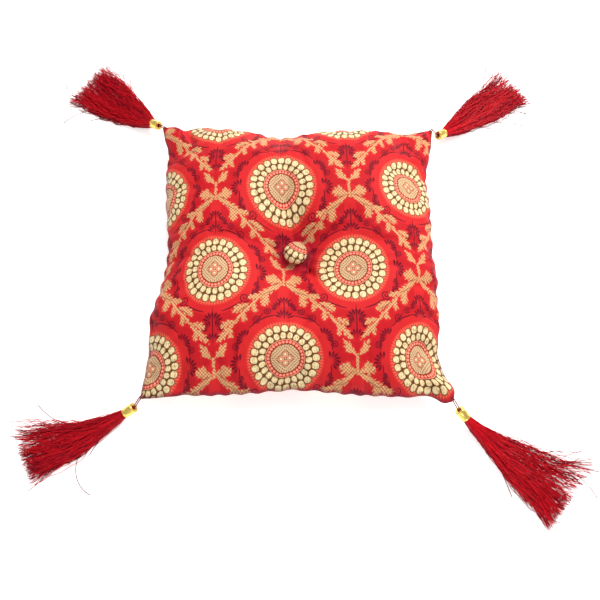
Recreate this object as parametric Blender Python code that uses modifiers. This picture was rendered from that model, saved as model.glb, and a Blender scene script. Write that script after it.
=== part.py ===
"""Square tufted brocade cushion with four tassels, lying on its back.

Two square panels are seamed all round and stuffed. A covered button pulls the middle of the
face down, and a tassel hangs from each corner: a thread loop, a brass ferrule and a yarn skirt.
The origin is the centre of the flat underside, +Z is up, and -Y is the front edge.
"""

import math

import bmesh
import bpy
import numpy as np

# Sizes are in millimetres and angles in degrees. MM turns them into Blender's metres.
MM = 0.001
CLEARANCE = 0.3
MERGE_DISTANCE = 0.00001

# Cushion body, measured on the flat cloth and above the surface it lies on
HALF_SIDE = 89.0
CROWN_HEIGHT = 42.0
SEAM_HEIGHT = 19.0
CORNER_HEIGHT = 12.0
UNDERSIDE_DROP = 26.0
FULLNESS_POWER = 3.0
EDGE_ROUNDNESS = 0.58
PANEL_CELLS = 34
CELL_CROWDING = 0.45

# How far each seam is drawn in at its middle
SIDE_DRAW = {"left": 8.5, "right": 7.5, "back": 7.5, "front": 2.0}

# Seam puckers: place runs from -1 to 1 along the side, depth is inwards, width is along the side
SEAM_PUCKERS = (
    # side, place, depth, width
    ("left", 0.74, 2.4, 0.12),
    ("left", -0.05, 2.8, 0.25),
    ("left", -0.50, -2.8, 0.15),
    ("right", 0.56, 2.6, 0.18),
    ("right", -0.20, -1.3, 0.08),
    ("right", -0.72, 4.0, 0.15),
    ("back", -0.81, 2.0, 0.06),
    ("back", -0.12, 5.0, 0.22),
    ("back", 0.77, 2.5, 0.14),
    ("front", -0.72, 0.8, 0.08),
    ("front", 0.00, 2.3, 0.25),
    ("front", 0.83, 1.6, 0.08),
)
PUCKER_FLATTENING = 0.07
PUCKER_REACH = 0.22

# Folds of the upper panel: long soft troughs, and ridges where the depth is negative
FOLDS = (
    # x, y, direction, half length, half width, depth
    (0.0, 10.0, 82.0, 9.0, 3.4, 2.8),
    (14.0, 2.0, 30.0, 10.0, 4.0, 3.2),
    (6.0, -18.5, -60.0, 7.0, 3.2, 2.2),
    (-17.0, -3.0, 172.0, 9.0, 3.2, 1.5),
    (-12.0, 12.0, 125.0, 10.0, 5.0, -1.2),
    (9.0, 14.0, 55.0, 9.0, 3.5, -1.2),
    (-76.0, 65.0, -20.0, 12.0, 4.0, 3.2),
    (-74.0, -12.0, 8.0, 14.0, 6.0, 1.6),
    (-76.0, -44.0, -12.0, 12.0, 6.0, -1.6),
    (76.0, 50.0, 18.0, 13.0, 5.0, 2.6),
    (78.0, -18.0, 0.0, 9.0, 5.0, -1.4),
    (75.0, -63.0, -25.0, 12.0, 4.0, 3.6),
    (-71.0, 78.0, -68.0, 10.0, 3.2, 4.2),
    (-10.0, 70.0, 92.0, 14.0, 6.0, 2.2),
    (66.0, 75.0, 78.0, 11.0, 4.0, 2.4),
    (-64.0, -79.0, 86.0, 10.0, 3.4, 3.0),
    (2.0, -80.0, 90.0, 10.0, 5.0, 1.6),
    (70.0, -78.0, 112.0, 9.0, 3.4, 3.2),
    (-80.0, 82.0, 135.0, 8.0, 7.0, -5.0),
    (80.0, 80.0, 45.0, 9.0, 3.2, -3.5),
    (82.0, -83.0, -45.0, 7.0, 6.0, -7.0),
)

# Tuft: the pit that the button is pulled into
PIT_X = -1.4
PIT_Y = -6.6
PIT_DEPTH = 15.0
PIT_REACH = 19.0
PIT_SHAPE = 1.3
SEAT_RADIUS = 6.0
SEAT_FADE = 4.0

# Covered button, turned: radius and height of its outline, from the middle of the dome down
BUTTON_RADIUS = 6.9
BUTTON_HEIGHT = 6.6
BUTTON_RIM_HEIGHT = 2.6
BUTTON_TUCK_RADIUS = 6.4
BUTTON_TUCK_HEIGHT = 1.2
BUTTON_FOOT_RADIUS = 4.2
BUTTON_DOME_STEPS = 5
BUTTON_SIDES = 24

# Ferrule, turned: distance along its axis from its middle, and radius there
FERRULE_HALF_LENGTH = 3.5
FERRULE_BORE = 2.45
FERRULE_OUTLINE = (
    # along, radius
    (3.5, 2.70),
    (3.1, 2.95),
    (2.4, 2.80),
    (0.0, 3.00),
    (-2.4, 2.80),
    (-3.1, 2.95),
    (-3.5, 2.70),
)
FERRULE_SIDES = 16

# Yarn head inside the ferrule, and the skirt of locks that leaves it
FERRULE_HEIGHT = 8.5
YARN_RADIUS = 2.1
YARN_TOP_RADIUS = 1.6
YARN_TOP = -1.0
YARN_SHOULDER = -0.3
YARN_NECK = 4.6
LANDING = 30.0
SKIRT_THICKNESS = 3.4
LOCKS_ACROSS = 14
LOCK_LAYERS = 3
LOCK_SHARE = 0.74
LOCK_STATIONS = (0.20, 0.38, 0.58, 0.80, 1.0)
LOCK_TIP_SHARE = 0.35
LOCK_LENGTH_SPREAD = 0.16
STRAY_FROM = 0.45
RIPPLE = 1.0
RIPPLE_LENGTH = 38.0
RIPPLE_LAG = 2.2

# Tassels: the ferrule's middle, the direction the yarn lies in, its length, and how far its tips
# spread to each side. Stray is the extra spread of the outermost locks, bend moves all the tips.
TASSELS = (
    # name, corner x, corner y, ferrule x, ferrule y, heading, length, left, right, stray side, stray, bend
    ("back_left", -1, 1, -94.6, 93.2, 144.4, 65.0, 15.0, 16.0, 0, 0.0, 0.0),
    ("back_right", 1, 1, 95.6, 88.2, 36.6, 73.0, 13.0, 10.5, 0, 0.0, 0.0),
    ("front_right", 1, -1, 94.8, -96.2, -43.3, 76.0, 15.0, 10.6, 1, 17.0, 0.0),
    ("front_left", -1, -1, -95.0, -94.8, -152.3, 66.0, 12.0, 9.0, -1, 7.0, -5.0),
)

# Thread loop
THREAD_RADIUS = 0.35
LOOP_HALF_WIDTH = 0.6
LOOP_ON_EAR = (0.024, 0.012, 0.0)
LOOP_BEND = (60, 30, 0, -30, -60)

COLOURS = {
    # red, green, blue, roughness, metallic
    "brocade": (0.60, 0.06, 0.05, 0.62, 0.0),
    "brass": (0.78, 0.50, 0.13, 0.28, 1.0),
    "thread": (0.42, 0.01, 0.02, 0.6, 0.0),
    "yarn": (0.36, 0.008, 0.014, 0.5, 0.0),
}


def clear_scene():
    for old in list(bpy.data.objects):
        bpy.data.objects.remove(old, do_unlink=True)


def collection(name):
    made = bpy.data.collections.new(name)
    bpy.context.scene.collection.children.link(made)
    return made


def material(name):
    red, green, blue, roughness, metallic = COLOURS[name]
    made = bpy.data.materials.get(name) or bpy.data.materials.new(name)
    made.use_nodes = True
    shader = made.node_tree.nodes["Principled BSDF"]
    shader.inputs["Base Color"].default_value = (red, green, blue, 1.0)
    shader.inputs["Roughness"].default_value = roughness
    shader.inputs["Metallic"].default_value = metallic
    return made


def add_object(name, data, finish, group):
    made = bpy.data.objects.new(name, data)
    data.materials.append(material(finish))
    group.objects.link(made)
    return made


def finish_mesh(bm, name):
    """Scales the millimetre mesh to metres, turns its faces out and smooths it."""
    bmesh.ops.scale(bm, vec=(MM, MM, MM), verts=bm.verts)
    bmesh.ops.recalc_face_normals(bm, faces=bm.faces)
    mesh = bpy.data.meshes.new(name)
    bm.to_mesh(mesh)
    bm.free()
    mesh.shade_smooth()
    return mesh


def points_of(bm):
    return np.array([vert.co[:] for vert in bm.verts])


def move_points(bm, places):
    for vert, place in zip(bm.verts, places):
        vert.co = place


# Cushion body

def seam_draw(side, along):
    """How far one seam lies inside the straight side: a parabola, plus the side's own puckers."""
    total = SIDE_DRAW[side] * (1 - along ** 2)
    for row_side, place, depth, width in SEAM_PUCKERS:
        if row_side == side:
            total = total + depth * np.exp(-((along - place) / width) ** 2)
    return total


def panel_plan(p, q):
    """Where a point of the flat cloth, p and q from -1 to 1, lies seen from above."""
    x = HALF_SIDE * p - np.where(p < 0, -seam_draw("left", q), seam_draw("right", q)) * np.abs(p) ** 3
    y = HALF_SIDE * q - np.where(q < 0, -seam_draw("front", p), seam_draw("back", p)) * np.abs(q) ** 3
    return x, y


def seam_height(p, q):
    return CORNER_HEIGHT + (SEAM_HEIGHT - CORNER_HEIGHT) * (1 - (p * q) ** 2)


def stuffing(p, q):
    """How full the cushion is, from 0 on the seam to 1 in the middle, flattened at each pucker."""
    full = (1 - np.abs(p) ** FULLNESS_POWER) * (1 - np.abs(q) ** FULLNESS_POWER)
    full = np.maximum(full, 0) ** EDGE_ROUNDNESS
    edges = {"left": (q, 1 + p), "right": (q, 1 - p), "front": (p, 1 + q), "back": (p, 1 - q)}
    for side, place, depth, width in SEAM_PUCKERS:
        along, inwards = edges[side]
        near = np.exp(-((along - place) / width) ** 2 - (inwards / PUCKER_REACH) ** 2)
        full = full * (1 - PUCKER_FLATTENING * depth * near)
    return full


def fold_depth(x, y):
    """The troughs and ridges of the folds: a long two-way bell for each row of the table."""
    total = np.zeros_like(x)
    for fold_x, fold_y, direction, half_length, half_width, depth in FOLDS:
        turn = math.radians(direction)
        along = (x - fold_x) * math.cos(turn) + (y - fold_y) * math.sin(turn)
        across = (y - fold_y) * math.cos(turn) - (x - fold_x) * math.sin(turn)
        total = total + depth * np.exp(-(along / half_length) ** 2 - (across / half_width) ** 2)
    return total


def upper_panel(p, q):
    """The face: it rises from the seam to the crown, less the tuft pit and the folds."""
    x, y = panel_plan(p, q)
    full = stuffing(p, q)
    from_seat = np.maximum(np.hypot(x - PIT_X, y - PIT_Y) - SEAT_RADIUS, 0)
    pit = PIT_DEPTH * np.exp(-(from_seat / PIT_REACH) ** PIT_SHAPE)
    past_seat = 1 - np.exp(-(from_seat / SEAT_FADE) ** 2)
    folds = fold_depth(x, y) * np.sqrt(full) * past_seat
    z = seam_height(p, q) + (CROWN_HEIGHT - SEAM_HEIGHT) * full - pit * full - folds
    return np.stack([x, y, z], axis=1)


def lower_panel(p, q):
    """The back: it drops from the seam and lies flat on the surface across the middle."""
    x, y = panel_plan(p, q)
    z = np.maximum(seam_height(p, q) - UNDERSIDE_DROP * stuffing(p, q), 0)
    return np.stack([x, y, z], axis=1)


def crowd(t):
    """Spaces the grid lines closer at the tuft and at the seams than between them."""
    return t - CELL_CROWDING * np.sin(2 * math.pi * t) / (2 * math.pi)


def cushion_mesh():
    """Two grids of cloth, each laid over its panel's shape, joined along the seam."""
    bm = bmesh.new()
    for panel in (upper_panel, lower_panel):
        part = bmesh.new()
        bmesh.ops.create_grid(part, x_segments=PANEL_CELLS, y_segments=PANEL_CELLS, size=1)
        flat = points_of(part)
        move_points(part, panel(crowd(flat[:, 0]), crowd(flat[:, 1])))
        panel_mesh = bpy.data.meshes.new("panel")
        part.to_mesh(panel_mesh)
        part.free()
        bm.from_mesh(panel_mesh)
        bpy.data.meshes.remove(panel_mesh)
    bmesh.ops.remove_doubles(bm, verts=bm.verts, dist=0.001)
    bmesh.ops.triangulate(bm, faces=bm.faces)
    return finish_mesh(bm, "cushion")


# Turned pieces

def turned_object(name, outline, closed, sides, finish, group):
    """An outline of (radius, height) points, top to bottom down its outer side, turned about Z."""
    places = [(radius * MM, 0.0, height * MM) for radius, height in outline]
    edges = [(index, index + 1) for index in range(len(places) - 1)]
    if closed:
        edges.append((len(places) - 1, 0))
    profile = bpy.data.meshes.new(name)
    profile.from_pydata(places, edges, [])
    made = add_object(name, profile, finish, group)
    screw = made.modifiers.new("Screw", "SCREW")
    screw.axis = "Z"
    screw.angle = 2 * math.pi
    screw.steps = sides
    screw.render_steps = sides
    screw.use_merge_vertices = True
    screw.merge_threshold = MERGE_DISTANCE
    screw.use_smooth_shade = True
    return made


def button_outline():
    """A quarter ellipse down to the rim, then in to the flat foot."""
    outline = []
    for step in range(BUTTON_DOME_STEPS + 1):
        turn = math.pi / 2 * step / BUTTON_DOME_STEPS
        height = BUTTON_RIM_HEIGHT + (BUTTON_HEIGHT - BUTTON_RIM_HEIGHT) * math.cos(turn)
        outline.append((BUTTON_RADIUS * math.sin(turn), height))
    outline.append((BUTTON_TUCK_RADIUS, BUTTON_TUCK_HEIGHT))
    outline.append((BUTTON_FOOT_RADIUS, 0.0))
    outline.append((0.0, 0.0))
    return outline


def ferrule_outline():
    """Down the barrel's outer side, and back up the bore."""
    outline = [(radius, along) for along, radius in FERRULE_OUTLINE]
    outline.append((FERRULE_BORE, -FERRULE_HALF_LENGTH))
    outline.append((FERRULE_BORE, FERRULE_HALF_LENGTH))
    return outline


# Tassels

def landing_height(x):
    """Height of the middle of the yarn: a parabola from the ferrule down to the surface."""
    lying = SKIRT_THICKNESS / 2
    drop = FERRULE_HEIGHT - lying
    return lying + drop * np.maximum(1 - x / LANDING, 0) ** 2


def landing_slope(x):
    drop = FERRULE_HEIGHT - SKIRT_THICKNESS / 2
    return -2 * drop / LANDING * np.maximum(1 - x / LANDING, 0)


def yarn_flow(straight, tassel):
    """Bends the straight skirt to its lie.

    A point of the straight skirt is (a, b, x): a across and b up, from -1 to 1, and x along. At the
    ferrule a and b fill a disc, and further on they fan out into a thin level layer. Each point
    keeps its order across and up, so locks never cross.
    """
    foot_x, foot_y, heading, length, left, right, side, stray, bend = tassel[3:]
    a, b, x = straight.T
    t = np.clip(x / length, 0, 1)
    fanned = 1 - (1 - t) ** 3
    spread = np.where(a > 0, left, right) * a
    loose = side * stray * np.maximum(a * side - STRAY_FROM, 0) / (1 - STRAY_FROM)
    ripple = RIPPLE * np.sin(2 * math.pi * x / RIPPLE_LENGTH + RIPPLE_LAG * a) * t
    round_across = YARN_RADIUS * a * np.sqrt(1 - b ** 2 / 2)
    round_up = YARN_RADIUS * b * np.sqrt(1 - a ** 2 / 2)
    flat_across = YARN_RADIUS * a + spread * t + loose * t ** 2 + bend * t ** 3 + ripple
    across = (1 - fanned) * round_across + fanned * flat_across
    up = (1 - fanned) * round_up + fanned * SKIRT_THICKNESS / 2 * b
    shoulder = np.interp(x, (YARN_TOP, YARN_SHOULDER), (YARN_TOP_RADIUS / YARN_RADIUS, 1))
    across = across * shoulder
    up = up * shoulder
    tilt = np.arctan(landing_slope(x))
    forward = x - up * np.sin(tilt)
    turn = math.radians(heading)
    world_x = foot_x + forward * math.cos(turn) - across * math.sin(turn)
    world_y = foot_y + forward * math.sin(turn) + across * math.cos(turn)
    return np.stack([world_x, world_y, landing_height(x) + up * np.cos(tilt)], axis=1)


def yarn_mesh(tassel, lengths):
    """A grid of lock ends is drawn out into the head, and each lock on from there by itself."""
    name, length = tassel[0], tassel[6]
    bm = bmesh.new()
    bmesh.ops.create_grid(bm, x_segments=LOCKS_ACROSS, y_segments=LOCK_LAYERS, size=1)
    bmesh.ops.translate(bm, vec=(0, 0, YARN_TOP), verts=bm.verts)
    front = list(bm.faces)
    for station in (YARN_SHOULDER, YARN_NECK):
        inside = [] if station == YARN_SHOULDER else front
        grown = bmesh.ops.extrude_face_region(bm, geom=front)
        front = [item for item in grown["geom"] if isinstance(item, bmesh.types.BMFace)]
        for vert in {vert for face in front for vert in face.verts}:
            vert.co.z = station
        bmesh.ops.delete(bm, geom=inside, context="FACES")
    front.sort(key=lambda face: (round(face.calc_center_median().x, 4), face.calc_center_median().y))
    homes = [face.calc_center_median() for face in front]
    half_a = 1 / LOCKS_ACROSS
    half_b = 1 / LOCK_LAYERS
    for station in LOCK_STATIONS:
        grown = bmesh.ops.extrude_discrete_faces(bm, faces=front)
        front = grown["faces"]
        share = LOCK_SHARE if station < 1 else LOCK_SHARE * LOCK_TIP_SHARE
        for face, home, own_length in zip(front, homes, lengths):
            for vert in face.verts:
                to_right = vert.co.x > home.x
                to_top = vert.co.y > home.y
                vert.co.x = home.x + (half_a if to_right else -half_a) * share
                vert.co.y = home.y - half_b + (2 * half_b * share if to_top else 0)
                vert.co.z = length * own_length * station
    move_points(bm, yarn_flow(points_of(bm), tassel))
    bmesh.ops.triangulate(bm, faces=bm.faces)
    return finish_mesh(bm, "yarn_" + name)


def over_corner(corner_x, corner_y, inset):
    """A place where the thread lies on the corner's ear, that share of the half side in from its tip."""
    reach = 1 - inset
    place = upper_panel(np.array([corner_x * reach]), np.array([corner_y * reach]))[0]
    return place + np.array([0, 0, THREAD_RADIUS + CLEARANCE])


def loop_curve(tassel):
    """A thread stitched over the corner's ear, through the ferrule's mouth, to the yarn and back."""
    name, corner_x, corner_y, foot_x, foot_y, heading = tassel[:6]
    turn = math.radians(heading)
    slope = math.atan(landing_slope(0.0))
    outwards = np.array([math.cos(turn) * math.cos(slope), math.sin(turn) * math.cos(slope), math.sin(slope)])
    middle = np.array([foot_x, foot_y, FERRULE_HEIGHT])
    mouth = middle - outwards * FERRULE_HALF_LENGTH
    bight = middle + outwards * (YARN_TOP - CLEARANCE - THREAD_RADIUS)
    sideways = np.array([-math.sin(turn), math.cos(turn), 0.0])
    ear = [over_corner(corner_x, corner_y, inset) for inset in LOOP_ON_EAR]
    spine = ear + [(ear[-1] + mouth) / 2, mouth, bight - outwards * LOOP_HALF_WIDTH]
    left = [place + sideways * LOOP_HALF_WIDTH for place in spine]
    right = [place - sideways * LOOP_HALF_WIDTH for place in spine]
    bend = []
    for degrees in LOOP_BEND:
        around = math.radians(degrees)
        place = bight + outwards * LOOP_HALF_WIDTH * (math.cos(around) - 1)
        bend.append(place + sideways * LOOP_HALF_WIDTH * math.sin(around))
    curve = bpy.data.curves.new("loop_" + name, "CURVE")
    curve.dimensions = "3D"
    curve.bevel_depth = THREAD_RADIUS * MM
    curve.bevel_resolution = 1
    curve.use_fill_caps = True
    route = left + bend + right[::-1]
    spline = curve.splines.new("POLY")
    spline.points.add(len(route) - 1)
    for point, place in zip(spline.points, route):
        point.co = (*(place * MM), 1.0)
    return curve


def build():
    clear_scene()
    group = collection("tufted_cushion")
    add_object("cushion", cushion_mesh(), "brocade", group)

    seat = upper_panel(np.array([PIT_X / HALF_SIDE]), np.array([PIT_Y / HALF_SIDE]))[0]
    button = turned_object("button", button_outline(), False, BUTTON_SIDES, "brocade", group)
    button.location = (seat[0] * MM, seat[1] * MM, (seat[2] + CLEARANCE) * MM)

    slope = math.atan(landing_slope(0.0))
    draws = np.random.default_rng(5)
    for tassel in TASSELS:
        name = tassel[0]
        foot_x, foot_y, heading = tassel[3:6]
        ferrule = turned_object("ferrule_" + name, ferrule_outline(), True, FERRULE_SIDES, "brass", group)
        ferrule.location = (foot_x * MM, foot_y * MM, FERRULE_HEIGHT * MM)
        ferrule.rotation_euler = (0, math.pi / 2 - slope, math.radians(heading))
        add_object("loop_" + name, loop_curve(tassel), "thread", group)
        lengths = 1 - LOCK_LENGTH_SPREAD * draws.random(LOCKS_ACROSS * LOCK_LAYERS)
        add_object("yarn_" + name, yarn_mesh(tassel, lengths), "yarn", group)


build()
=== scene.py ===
"""Looks of a small square tufted brocade cushion with four silk tassels, lying on its back."""

import math

import bpy
import numpy as np
from mathutils import Matrix, Vector


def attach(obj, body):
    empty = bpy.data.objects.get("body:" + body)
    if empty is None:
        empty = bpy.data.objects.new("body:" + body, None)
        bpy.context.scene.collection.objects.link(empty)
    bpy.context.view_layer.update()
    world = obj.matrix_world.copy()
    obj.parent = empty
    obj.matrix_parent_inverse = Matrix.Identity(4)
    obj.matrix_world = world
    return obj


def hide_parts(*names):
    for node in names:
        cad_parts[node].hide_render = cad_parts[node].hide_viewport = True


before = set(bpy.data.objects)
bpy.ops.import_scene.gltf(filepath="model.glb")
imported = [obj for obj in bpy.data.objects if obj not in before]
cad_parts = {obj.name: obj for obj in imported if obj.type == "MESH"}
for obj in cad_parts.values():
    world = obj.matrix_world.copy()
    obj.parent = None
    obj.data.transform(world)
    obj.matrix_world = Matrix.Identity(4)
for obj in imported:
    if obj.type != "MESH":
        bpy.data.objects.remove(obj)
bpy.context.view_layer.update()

# Sizes below are in millimetres, and MM turns them into metres.
MM = 0.001

# Camera: held nearly straight above the cushion's face, tipped 22 degrees towards its front edge,
# close enough that the near edge looks larger than the far one.
CAMERA_TIP = 22.602
CAMERA_SWING = -1.738
CAMERA_ROLL = 2.091
CAMERA_DISTANCE = 348.8
CAMERA_AIM_HEIGHT = 20.0
CAMERA_YAW = 0.408
CAMERA_PITCH = -5.027
FOCAL_PIXELS = 578.5
FRAME_PIXELS = 600.0
SENSOR_WIDTH = 36.0


def make_camera():
    """The camera backs off from the aim point along its tipped axis, then turns by yaw, pitch and roll."""
    tip, swing, roll = map(math.radians, (CAMERA_TIP, CAMERA_SWING, CAMERA_ROLL))
    yaw, pitch = math.radians(CAMERA_YAW), math.radians(CAMERA_PITCH)
    back = Vector((math.sin(swing) * math.sin(tip), -math.cos(swing) * math.sin(tip), math.cos(tip)))
    right = Vector((math.cos(swing), math.sin(swing), 0.0))
    up = back.cross(right)
    look = -back * math.cos(yaw) * math.cos(pitch)
    look = (look + right * math.sin(yaw) * math.cos(pitch) + up * math.sin(pitch)).normalized()
    side = look.cross(up).normalized()
    above = side.cross(look)
    turned_side = side * math.cos(roll) + above * math.sin(roll)
    turned_above = above * math.cos(roll) - side * math.sin(roll)
    data = bpy.data.cameras.new("camera")
    data.sensor_width = SENSOR_WIDTH
    data.lens = FOCAL_PIXELS / FRAME_PIXELS * SENSOR_WIDTH
    camera = bpy.data.objects.new("camera", data)
    bpy.context.scene.collection.objects.link(camera)
    axes = Matrix((turned_side, turned_above, -look)).transposed().to_4x4()
    place = back * CAMERA_DISTANCE + Vector((0.0, 0.0, CAMERA_AIM_HEIGHT))
    camera.matrix_world = Matrix.Translation(place * MM) @ axes
    bpy.context.scene.camera = camera


make_camera()


# Cushion body: two square panels of red and gold brocade, seamed right sides together, turned and
# stuffed with soft fibre. The seam is a plain knife edge that puckers where the stuffing pulls it,
# and a tufting thread through the middle draws the face down into a pit.
HALF_SIDE = 89.0
CROWN_HEIGHT = 42.0
SEAM_HEIGHT = 19.0
CORNER_HEIGHT = 12.0
UNDERSIDE_DROP = 26.0
FULLNESS_POWER = 3.0
EDGE_ROUNDNESS = 0.58
SIDE_DRAW = {"left": 8.5, "right": 7.5, "back": 7.5, "front": 2.0}
SEAM_PUCKERS = (
    # side, place, depth, width
    ("left", 0.74, 2.4, 0.12),
    ("left", -0.05, 2.8, 0.25),
    ("left", -0.50, -2.8, 0.15),
    ("right", 0.56, 2.6, 0.18),
    ("right", -0.20, -1.3, 0.08),
    ("right", -0.72, 4, 0.15),
    ("back", -0.81, 2, 0.06),
    ("back", -0.12, 5, 0.22),
    ("back", 0.77, 2.5, 0.14),
    ("front", -0.72, 0.8, 0.08),
    ("front", 0.00, 2.3, 0.25),
    ("front", 0.83, 1.6, 0.08),
    ("right", -0.93, -2.4, 0.055),
    ("front", 0.93, -2.4, 0.055),
)
SEAM_WAVE_DEPTH = 0.45
SEAM_WAVE_LENGTH = 10.5
PUCKER_FLATTENING = 0.07
PUCKER_REACH = 0.22
FOLDS = (
    # x, y, direction, half length, half width, depth
    (0, 10, 82, 9, 3.4, 2.8),
    (14, 2, 30, 10, 4, 3.2),
    (6, -18.5, -60, 7, 3.2, 2.2),
    (-17, -3, 172, 9, 3.2, 1.5),
    (-12, 12, 125, 10, 5, -1.2),
    (9, 14, 55, 9, 3.5, -1.2),
    (-76, 65, -20, 12, 4, 3.2),
    (-74, -12, 8, 14, 6, 1.6),
    (-76, -44, -12, 12, 6, -1.6),
    (76, 50, 18, 13, 5, 2.6),
    (78, -18, 0, 9, 5, -1.4),
    (75, -63, -25, 12, 4, 3.6),
    (-71, 78, -68, 10, 3.2, 4.2),
    (-10, 70, 92, 14, 6, 2.2),
    (66, 75, 78, 11, 4, 2.4),
    (-64, -79, 86, 10, 3.4, 3),
    (2, -80, 90, 10, 5, 1.6),
    (70, -78, 112, 9, 3.4, 3.2),
    (-80, 82, 135, 8, 7, -5),
    (80, 80, 45, 9, 3.2, -3.5),
    (82, -83, -45, 7, 6, -7),
    (-7, 17, 100, 17, 14, 4.5),
    (-10, 56, 10, 26, 12, -2),
    (9, 5, 50, 12, 2.5, 3.6),
    (6.5, -15.5, -52, 10, 2.5, 3),
    (-3.5, 6.5, 100, 10, 2.3, 2.2),
    (-12, -10, 190, 7, 2, 0.9),
    (14, -6, 2, 9, 2.4, 1.2),
    (-6, -18, -110, 7, 2.2, 0.8),
    (-84, 34, -25, 7, 2, 0.9),
    (-82, -30, 30, 8, 2.2, 0.8),
    (84, 20, -10, 8, 2, 0.7),
    (-40, -84, 70, 6, 2, 0.9),
    (38, -84, 105, 7, 2, 0.9),
    (34, 82, 75, 6, 1.8, 0.8),
    (-38, 82, 110, 7, 1.8, 0.8),
)
PIT_X = -1.4
PIT_Y = -6.6
PIT_DEPTH = 15.0
PIT_REACH = 19.0
PIT_SHAPE = 1.3
SEAT_RADIUS = 6.0
SEAT_FADE = 4.0
GATHER_PITCH = 6.3
GATHER_DEPTH = 0.46
GATHER_REACH = 9.0
TUFT_WRINKLES = 11
TUFT_WRINKLE_DEPTH = 0.55
TUFT_WRINKLE_RADIUS = 13.0
TUFT_WRINKLE_REACH = 6.0
PANEL_CELLS = 196
CELL_CROWDING = 0.2
BACK_PANEL_SHIFT = (13.0, 21.0)
TUFT_PULL = 3.4
TUFT_PULL_X = -7.0
TUFT_PULL_Y = 12.0
TUFT_PULL_WIDTH = 17.0
TUFT_PULL_LENGTH = 11.0
BACK_EDGE_EASE = 5.5
BACK_EDGE_START = 0.5
BACK_EDGE_SPAN = 0.4
# Painted shade in the cloth's colour: its width at the seam, its strength, and its amount and width round
# the tuft.
SEAM_PAINTED_SHADE_WIDTH = 1.3
PAINTED_SHADE_STRENGTH = 0.75
TUFT_PAINTED_SHADE = 0.50
TUFT_PAINTED_SHADE_WIDTH = 4.6
MOAT_DEPTH = 2.7
MOAT_RADIUS = 8.6
MOAT_WIDTH = 2.1
SETTLE_STEPS = 24
SETTLE_CLOTH = {
    "quality": 8,
    "mass": 0.0004,
    "tension_stiffness": 6.0,
    "compression_stiffness": 6.0,
    "shear_stiffness": 6.0,
    "bending_stiffness": 0.6,
    "use_pressure": True,
    "uniform_pressure_force": 1.2,
    "vertex_group_mass": "held",
    "shrink_min": -0.022,
}
SETTLE_CAP = 2.2
SETTLE_ROOM = 1.3
SETTLE_TUFT_HOLD = 9.5
SETTLE_TUFT_REACH = 19.0


def seam_draw(side, along):
    """How far one seam lies inside the straight side: a parabola, the side's puckers and small waves."""
    total = SIDE_DRAW[side] * (1 - along ** 2)
    for row_side, place, depth, width in SEAM_PUCKERS:
        if row_side == side:
            total = total + depth * np.exp(-((along - place) / width) ** 2)
    lag = 1.9 * len(side)
    waves = np.sin(2 * math.pi * along * HALF_SIDE / SEAM_WAVE_LENGTH + 1.9 * np.sin(7 * along + lag) + lag)
    return total + SEAM_WAVE_DEPTH * waves * (1 - along ** 2)


def panel_plan(p, q):
    """Where a point of the flat cloth, p and q from -1 to 1, lies seen from above."""
    x = HALF_SIDE * p - np.where(p < 0, -seam_draw("left", q), seam_draw("right", q)) * np.abs(p) ** 3
    y = HALF_SIDE * q - np.where(q < 0, -seam_draw("front", p), seam_draw("back", p)) * np.abs(q) ** 3
    return x, y


def seam_height(p, q):
    return CORNER_HEIGHT + (SEAM_HEIGHT - CORNER_HEIGHT) * (1 - (p * q) ** 2)


def stuffing(p, q):
    """How full the cushion is, from 0 on the seam to 1 in the middle, flattened at each pucker."""
    full = (1 - np.abs(p) ** FULLNESS_POWER) * (1 - np.abs(q) ** FULLNESS_POWER)
    full = np.maximum(full, 0) ** EDGE_ROUNDNESS
    edges = {"left": (q, 1 + p), "right": (q, 1 - p), "front": (p, 1 + q), "back": (p, 1 - q)}
    for side, place, depth, width in SEAM_PUCKERS:
        along, inwards = edges[side]
        near = np.exp(-((along - place) / width) ** 2 - (inwards / PUCKER_REACH) ** 2)
        full = full * (1 - PUCKER_FLATTENING * depth * near)
    return full


def fold_depth(x, y):
    """The troughs and ridges of the folds: a long two-way bell for each row of the table."""
    total = np.zeros_like(x)
    for fold_x, fold_y, direction, half_length, half_width, depth in FOLDS:
        turn = math.radians(direction)
        along = (x - fold_x) * math.cos(turn) + (y - fold_y) * math.sin(turn)
        across = (y - fold_y) * math.cos(turn) - (x - fold_x) * math.sin(turn)
        total = total + depth * np.exp(-(along / half_length) ** 2 - (across / half_width) ** 2)
    return total


def gathers(p, q):
    """Small ripples that run in from each seam and die away, out of step from side to side."""
    total = np.zeros_like(p)
    for along, inwards, lag in ((q, 1 + p, 0.0), (q, 1 - p, 1.7), (p, 1 + q, 3.1), (p, 1 - q, 4.6)):
        reach = np.exp(-inwards * HALF_SIDE / GATHER_REACH)
        swell = 0.6 + 0.4 * np.sin(along * 7.0 + lag)
        ripple = np.sin(2 * math.pi * along * HALF_SIDE / GATHER_PITCH + 2.2 * np.sin(along * 9.0 + lag))
        total = total + GATHER_DEPTH * swell * ripple * reach
    return total


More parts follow.
